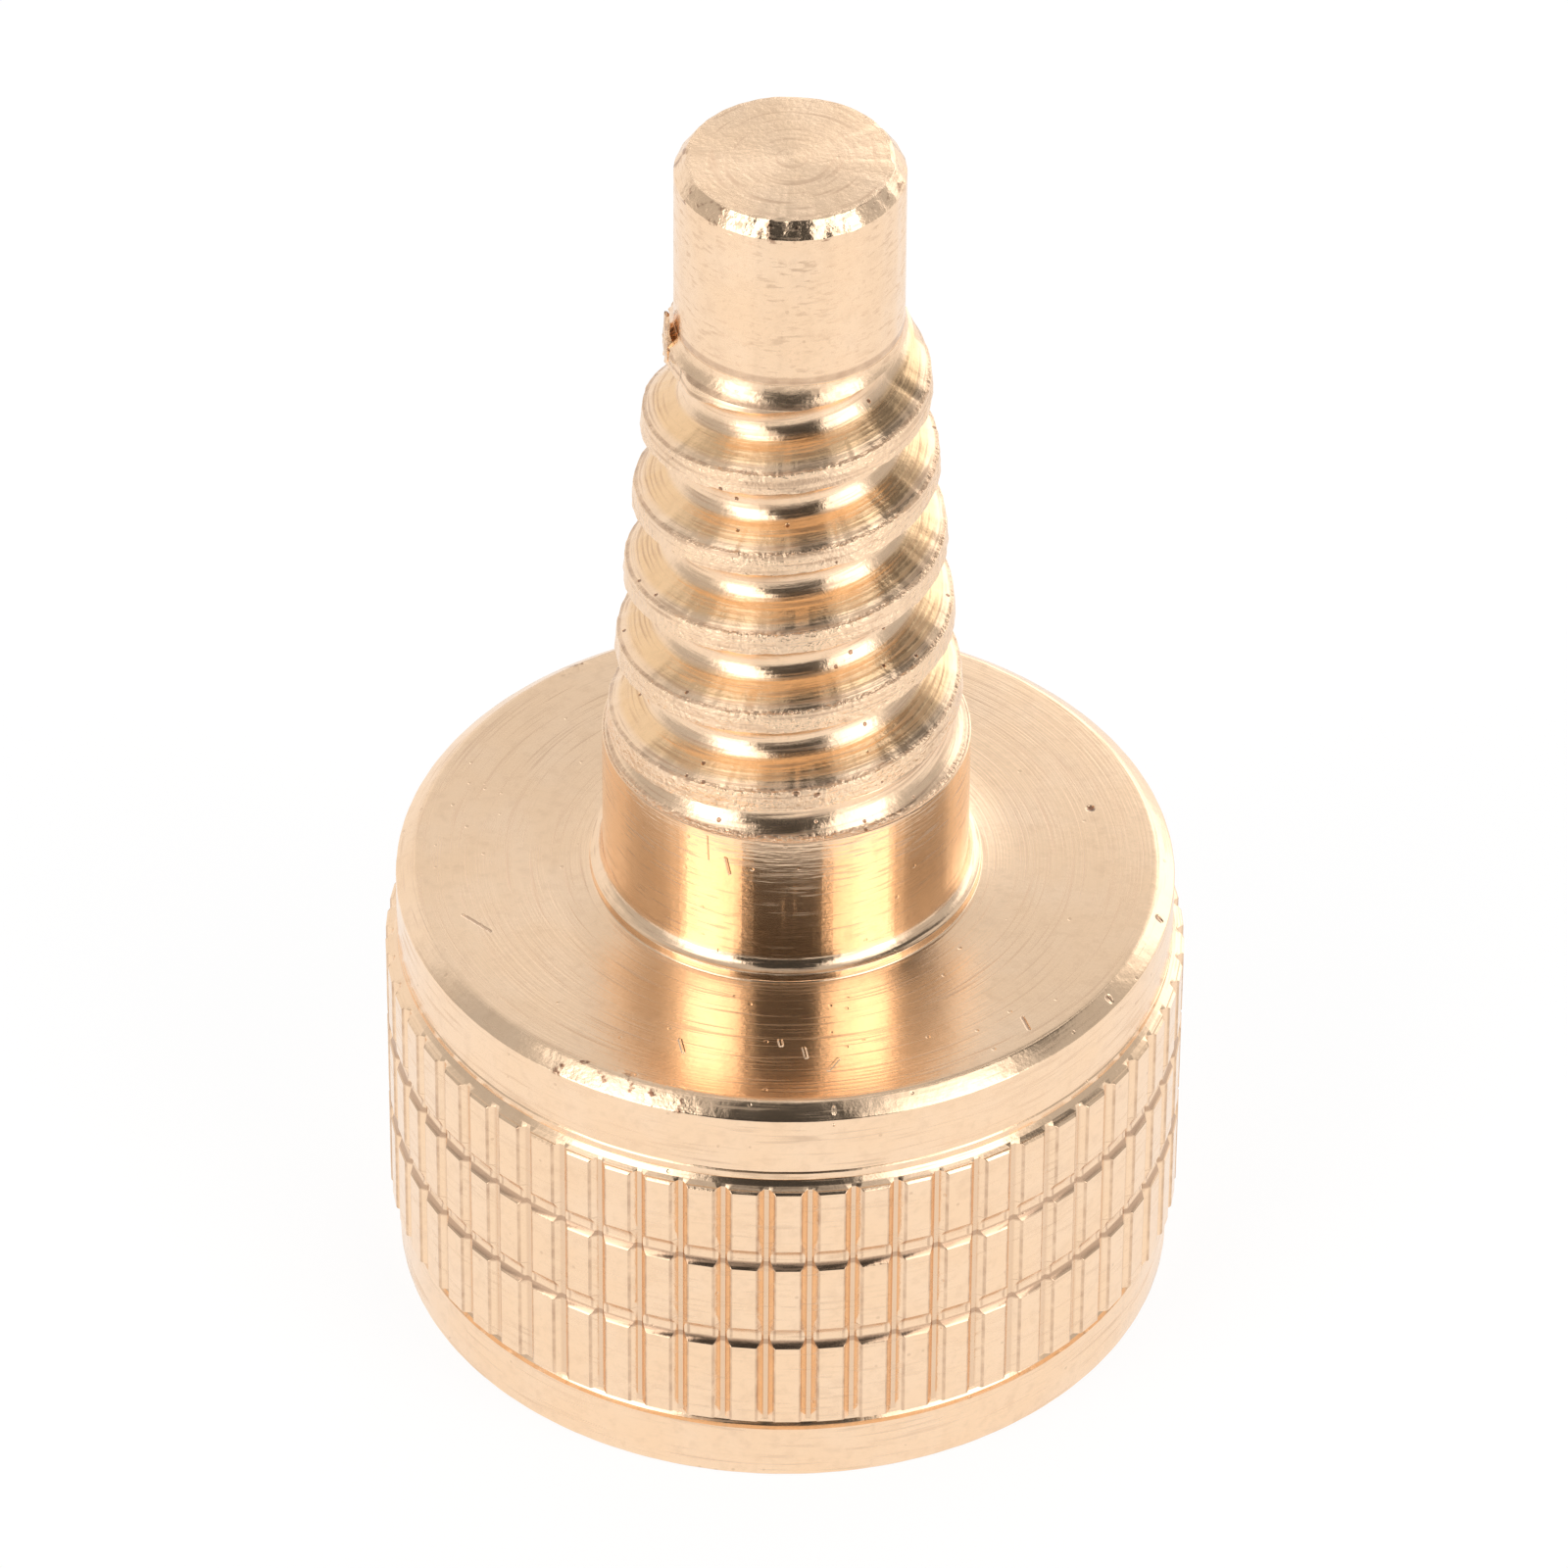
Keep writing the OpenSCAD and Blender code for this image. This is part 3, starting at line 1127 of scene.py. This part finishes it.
    def near(self, sheet: NodeSheet, point: Signal, scratch: Scratch) -> Signal:
        """Finds a scratch.

        Args:
            sheet: The material's nodes.
            point: The shaded point.
            scratch: The scratch.

        Returns:
            1 on the scratch and 0 away from it.
        """
        span = Vector(scratch.end) - Vector(scratch.start)
        offset = sheet.vector("SUBTRACT", point, scratch.start)
        share = sheet.vector("DOT_PRODUCT", offset, tuple(span), "Value")
        share = ((share * (1 / max(span.length_squared, 1e-9))) | 0.0) & 1.0
        away = sheet.vector("DISTANCE", offset, sheet.scaled(tuple(span), share), "Value")
        return away.fall(scratch.width * 0.5, scratch.width * 1.3)

    def build(self) -> bpy.types.Material:
        """Returns the finished material."""
        material = bpy.data.materials.new("brass")
        material.use_nodes = True
        sheet = NodeSheet(material.node_tree)
        point = sheet.scaled(sheet.add("ShaderNodeTexCoord").outputs["Object"], 1 / MM)
        x, y, z = sheet.split(point)
        radius = (x * x + y * y) ** 0.5
        at = Place(x, z, radius, x.angle_over(0.0 - y) * (1 / (2 * math.pi)))
        masks = self.regions(z)
        on_thread = masks[Region.THREAD]
        above, depth = self.on_groove(at)
        cloud = sheet.noise(point, self.cloud_scale, 3.0)
        grain = sheet.noise(point, self.grain_scale, 3.0)
        dents = sheet.noise(point, self.dent_scale, 3.0)

        # turning marks: two layers whose spacing and height change from region to region
        across = z + on_thread * (above - z) - radius
        grain_height = self.spread(masks, lambda finish: finish.grain)
        height = grain_height * grain
        marks: list[Signal] = []
        for index in (0, 1):
            fineness = self.spread(masks, lambda finish: finish.layers[index].fineness)
            stretch = self.spread(masks, lambda finish: finish.layers[index].stretch)
            where = sheet.joined(x * stretch, y * stretch, across * fineness)
            marks.append(sheet.noise(where, 1.0, 1.0))
            tall = self.spread(masks, lambda finish: finish.layers[index].height)
            height = height + tall * marks[index]
        deep = (0.0 - marks[0]).rise(*self.deep_marks) * (0.7 + cloud * 1.2)
        lines = self.spread(masks, lambda finish: finish.lines) * deep
        lines = lines + (0.0 - grain).rise(*self.dark_grain) * grain_height * self.grain_darkness

        # bumps: ragged crests, small pits mostly on the thread, dented edges
        crest = on_thread * depth.fall(*self.crest_edge)
        height = height + crest * grain * self.crest_height
        pits = sheet.dots(point, self.pit_cells, self.pit_size, self.pit_share)
        pits = pits * (0.25 + 0.75 * on_thread)
        height = height - pits * self.pit_depth
        rim, dented, bevel = self.worn_edges(at)
        knocks = rim * self.rim_dents + dented * self.deeper_dents + bevel * self.bevel_dents
        height = height + dents * knocks

        # single scratches, dents and pits
        scars = z * 0.0
        for scratch in SCRATCHES:
            near = self.near(sheet, point, scratch)
            height = height - near * scratch.depth
            scars = scars | (near * scratch.dark)

        # roughness: more in deep marks, on the crests, around the nose and in the ring grooves
        nose = z.between(self.thread.bevel_foot, self.thread.nose + 0.6, 0.2)
        roughness = self.spread(masks, lambda finish: finish.roughness)
        roughness = roughness + cloud * 0.06 + crest * 0.05 + deep * 0.22 + nose * 0.05
        half_ring = self.head.ring_width / 2
        for middle in self.head.ring_middles:
            roughness = roughness + abs(z - middle).fall(half_ring - 0.02, half_ring) * 0.05

        # stains and painted shade from all that is dark, and a painted amber reflection in the
        # groove
        # painted shade along the edges and in the roots of the knurl's grooves
        knurl_shade_share = self.shade_in_knurl(at, dents) * masks[Region.KNURL] * self.knurl_shade
        worn_edge = (dented * 0.9 + bevel * 0.6) * dents.rise(*self.worn_dents)
        mottled = dents.rise(*self.mottling) * 0.09
        # painted shade: thin dark lines along the crests' edges, where the flank under a crest is
        # in shade; then thin dark rings on the nose
        crest_shade_and_nose_rings = on_thread * depth.between(*self.crest_shade_band, 0.03) * (0.30 + dents * 0.9)
        for ring, reach in self.nose_rings:
            crest_shade_and_nose_rings = crest_shade_and_nose_rings | abs(z - ring).fall(reach * 0.4, reach) * (0.34 + dents * 0.6)
        stain_and_shade_share = (pits * 0.8) | scars | knurl_shade_share | lines | worn_edge | mottled | crest_shade_and_nose_rings
        # painted reflection: amber from light bounced between the flanks, low in the thread's
        # groove
        painted_groove_reflection = on_thread * depth.between(*self.amber_depth, 0.2) * above.fall(*self.amber_below)
        worn = cloud.rise(*self.worn_clouds) * 0.4
        colour = sheet.blend(worn, rgba(self.base), rgba(self.worn))
        colour = sheet.blend(painted_groove_reflection * 0.5, colour, rgba(self.amber))
        colour = sheet.blend(stain_and_shade_share, colour, rgba(self.stain_and_shade))

        bump = sheet.add(
            "ShaderNodeBump", inputs={"Height": height, "Distance": MM, "Strength": 1.0}
        )
        shader = sheet.add(
            "ShaderNodeBsdfPrincipled",
            inputs={
                "Base Color": colour,
                "Metallic": 1.0,
                "Roughness": roughness,
                "Anisotropic": self.anisotropy,
                "Anisotropic Rotation": 0.25,
                "Normal": bump.outputs[0],
            },
        )
        sheet.out(shader.outputs[0])
        return material


# ---- Studio ----


@dataclass(frozen=True)
class Camera:
    """The camera, from a fit to the outline of the screw."""

    elevation: float = 39.31
    distance: float = 307.2
    aim_height: float = 15.71
    aim_side: float = -0.054
    focal_pixels: float = 11501.0
    roll: float = 0.407
    picture_width: int = 1600

    def place(self) -> None:
        """Creates the camera and makes it the scene's."""
        data = bpy.data.cameras.new("camera")
        data.sensor_width = 36.0
        data.sensor_fit = "HORIZONTAL"
        data.lens = data.sensor_width * self.focal_pixels / self.picture_width
        data.clip_start = 0.01
        camera = bpy.data.objects.new("camera", data)
        tilt = math.radians(self.elevation)
        camera.location = Vector(
            (
                self.aim_side,
                -self.distance * math.cos(tilt),
                self.aim_height + self.distance * math.sin(tilt),
            )
        ) * MM
        forward = Vector((0, math.cos(tilt), -math.sin(tilt)))
        roll = Matrix.Rotation(math.radians(self.roll), 3, "Z")
        turn = forward.to_track_quat("-Z", "Y").to_matrix() @ roll
        camera.rotation_euler = turn.to_euler()
        bpy.context.scene.collection.objects.link(camera)
        bpy.context.scene.camera = camera


@dataclass(frozen=True)
class SoftBox:
    """A large soft lamp that looks at the screw."""

    name: str
    azimuth: float
    elevation: float
    distance: float
    width: float
    height: float
    radiance: float

    def place(self) -> None:
        """Creates the lamp."""
        data = bpy.data.lights.new(self.name, "AREA")
        data.shape = "RECTANGLE"
        data.size, data.size_y = self.width, self.height
        data.energy = self.radiance * math.pi * self.width * self.height
        lamp = bpy.data.objects.new(self.name, data)
        side, rise = math.radians(self.azimuth), math.radians(self.elevation)
        toward = Vector(
            (math.sin(side) * math.cos(rise), -math.cos(side) * math.cos(rise), math.sin(rise))
        )
        lamp.location = toward * self.distance
        lamp.rotation_euler = (-toward).to_track_quat("-Z", "Y").to_euler()
        bpy.context.scene.collection.objects.link(lamp)


@dataclass(frozen=True)
class SkyPatch:
    """A part of the surroundings that is lighter or darker than the rest.

    Args:
        azimuth: Middle of the patch, in degrees from the front toward +X.
        half_width: Half its width, in degrees.
        low: Its lower edge, in degrees above the horizon.
        high: Its upper edge.
        radiance: Its light.
        soft: Width of its soft edges, in degrees.
    """

    azimuth: float
    half_width: float
    low: float
    high: float
    radiance: float
    soft: float = 12.0


@dataclass(frozen=True)
class Surroundings:
    """The pale room around the screw: a plain level of light with softer and darker patches."""

    level: float = 0.56
    patches: tuple[SkyPatch, ...] = (
        # azimuth, half_width, low, high, radiance, soft
        SkyPatch(180, 46, 14, 66, 0.74, 24),
        SkyPatch(148, 30, -10, 34, 1.9, 20),
        SkyPatch(-142, 28, -10, 44, 0.95, 20),
        SkyPatch(104, 26, 45, 72, 0.10, 6),
        SkyPatch(62, 24, 46, 64, 1.4, 6),
        SkyPatch(-68, 22, 46, 64, 1.3, 6),
        SkyPatch(-52, 16, -20, 58, 1.45, 18),
        SkyPatch(58, 14, -20, 58, 1.35, 18),
        SkyPatch(0, 26, -10, 74, 0.05, 5),
    )

    def build(self) -> None:
        """Creates the world."""
        world = bpy.data.worlds.new("studio")
        bpy.context.scene.world = world
        world.use_nodes = True
        sheet = NodeSheet(world.node_tree)
        place = sheet.add("ShaderNodeTexCoord")
        x, y, z = sheet.split(place.outputs["Generated"])
        side = x.angle_over(0.0 - y) * (180 / math.pi)
        rise = z.math("ARCSINE", z) * (180 / math.pi)
        light = z * 0.0 + self.level
        for patch in self.patches:
            off = side - patch.azimuth
            off = abs(off - (off * (1 / 360)).rounded() * 360.0)
            mask = off.fall(patch.half_width - patch.soft / 2, patch.half_width + patch.soft / 2)
            mask = mask * rise.between(patch.low, patch.high, patch.soft)
            light = light + mask * (patch.radiance - light)
        path = sheet.add("ShaderNodeLightPath")
        seen = sheet.signal(path, "Is Camera Ray")
        light = light + seen * (1.0 - light)
        background = sheet.add(
            "ShaderNodeBackground", inputs={"Color": (1, 1, 1, 1), "Strength": light}
        )
        sheet.out(background.outputs[0])


@dataclass(frozen=True)
class Floor:
    """The pale floor, which shows white to the camera but keeps a trace of the shadow."""

    size: float = 4.0
    paleness: float = 0.85
    glow: float = 1.08
    share: float = 0.8

    def build(self) -> None:
        """Creates the floor."""
        deselect_all()
        bpy.ops.mesh.primitive_plane_add(size=self.size)
        floor = bpy.context.active_object
        floor.name = "floor"
        material = bpy.data.materials.new("floor")
        material.use_nodes = True
        sheet = NodeSheet(material.node_tree)
        path = sheet.add("ShaderNodeLightPath")
        seen = sheet.signal(path, "Is Camera Ray") | sheet.signal(path, "Is Glossy Ray")
        pale = (self.paleness, self.paleness, self.paleness, 1)
        diffuse = sheet.add("ShaderNodeBsdfDiffuse", inputs={"Color": pale})
        glow = sheet.add("ShaderNodeEmission", inputs={"Strength": self.glow})
        mix = sheet.add(
            "ShaderNodeMixShader",
            inputs={0: seen * self.share, 1: diffuse.outputs[0], 2: glow.outputs[0]},
        )
        sheet.out(mix.outputs[0])
        floor.data.materials.append(material)


def main() -> None:
    """Builds the screw and the studio."""
    logging.basicConfig(level=logging.INFO, format="%(name)s: %(message)s")
    bpy.context.scene.view_settings.view_transform = "Standard"
    Camera().place()
    SoftBox("box_left", -45, 27, 0.42, 0.22, 0.42, 1.30).place()
    SoftBox("box_right", 47.5, 27, 0.42, 0.25, 0.42, 1.30).place()
    Surroundings().build()
    Floor().build()
    plan = Screw()
    screw = plan.build()
    screw.data.materials.clear()
    screw.data.materials.append(TurnedBrass(plan.thread, plan.head, plan.pilot).build())
    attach(screw, "root")
    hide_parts("joint_screw")
    LOG.info("%s: %d faces", screw.name, len(screw.data.polygons))


if __name__ == "__main__":
    main()
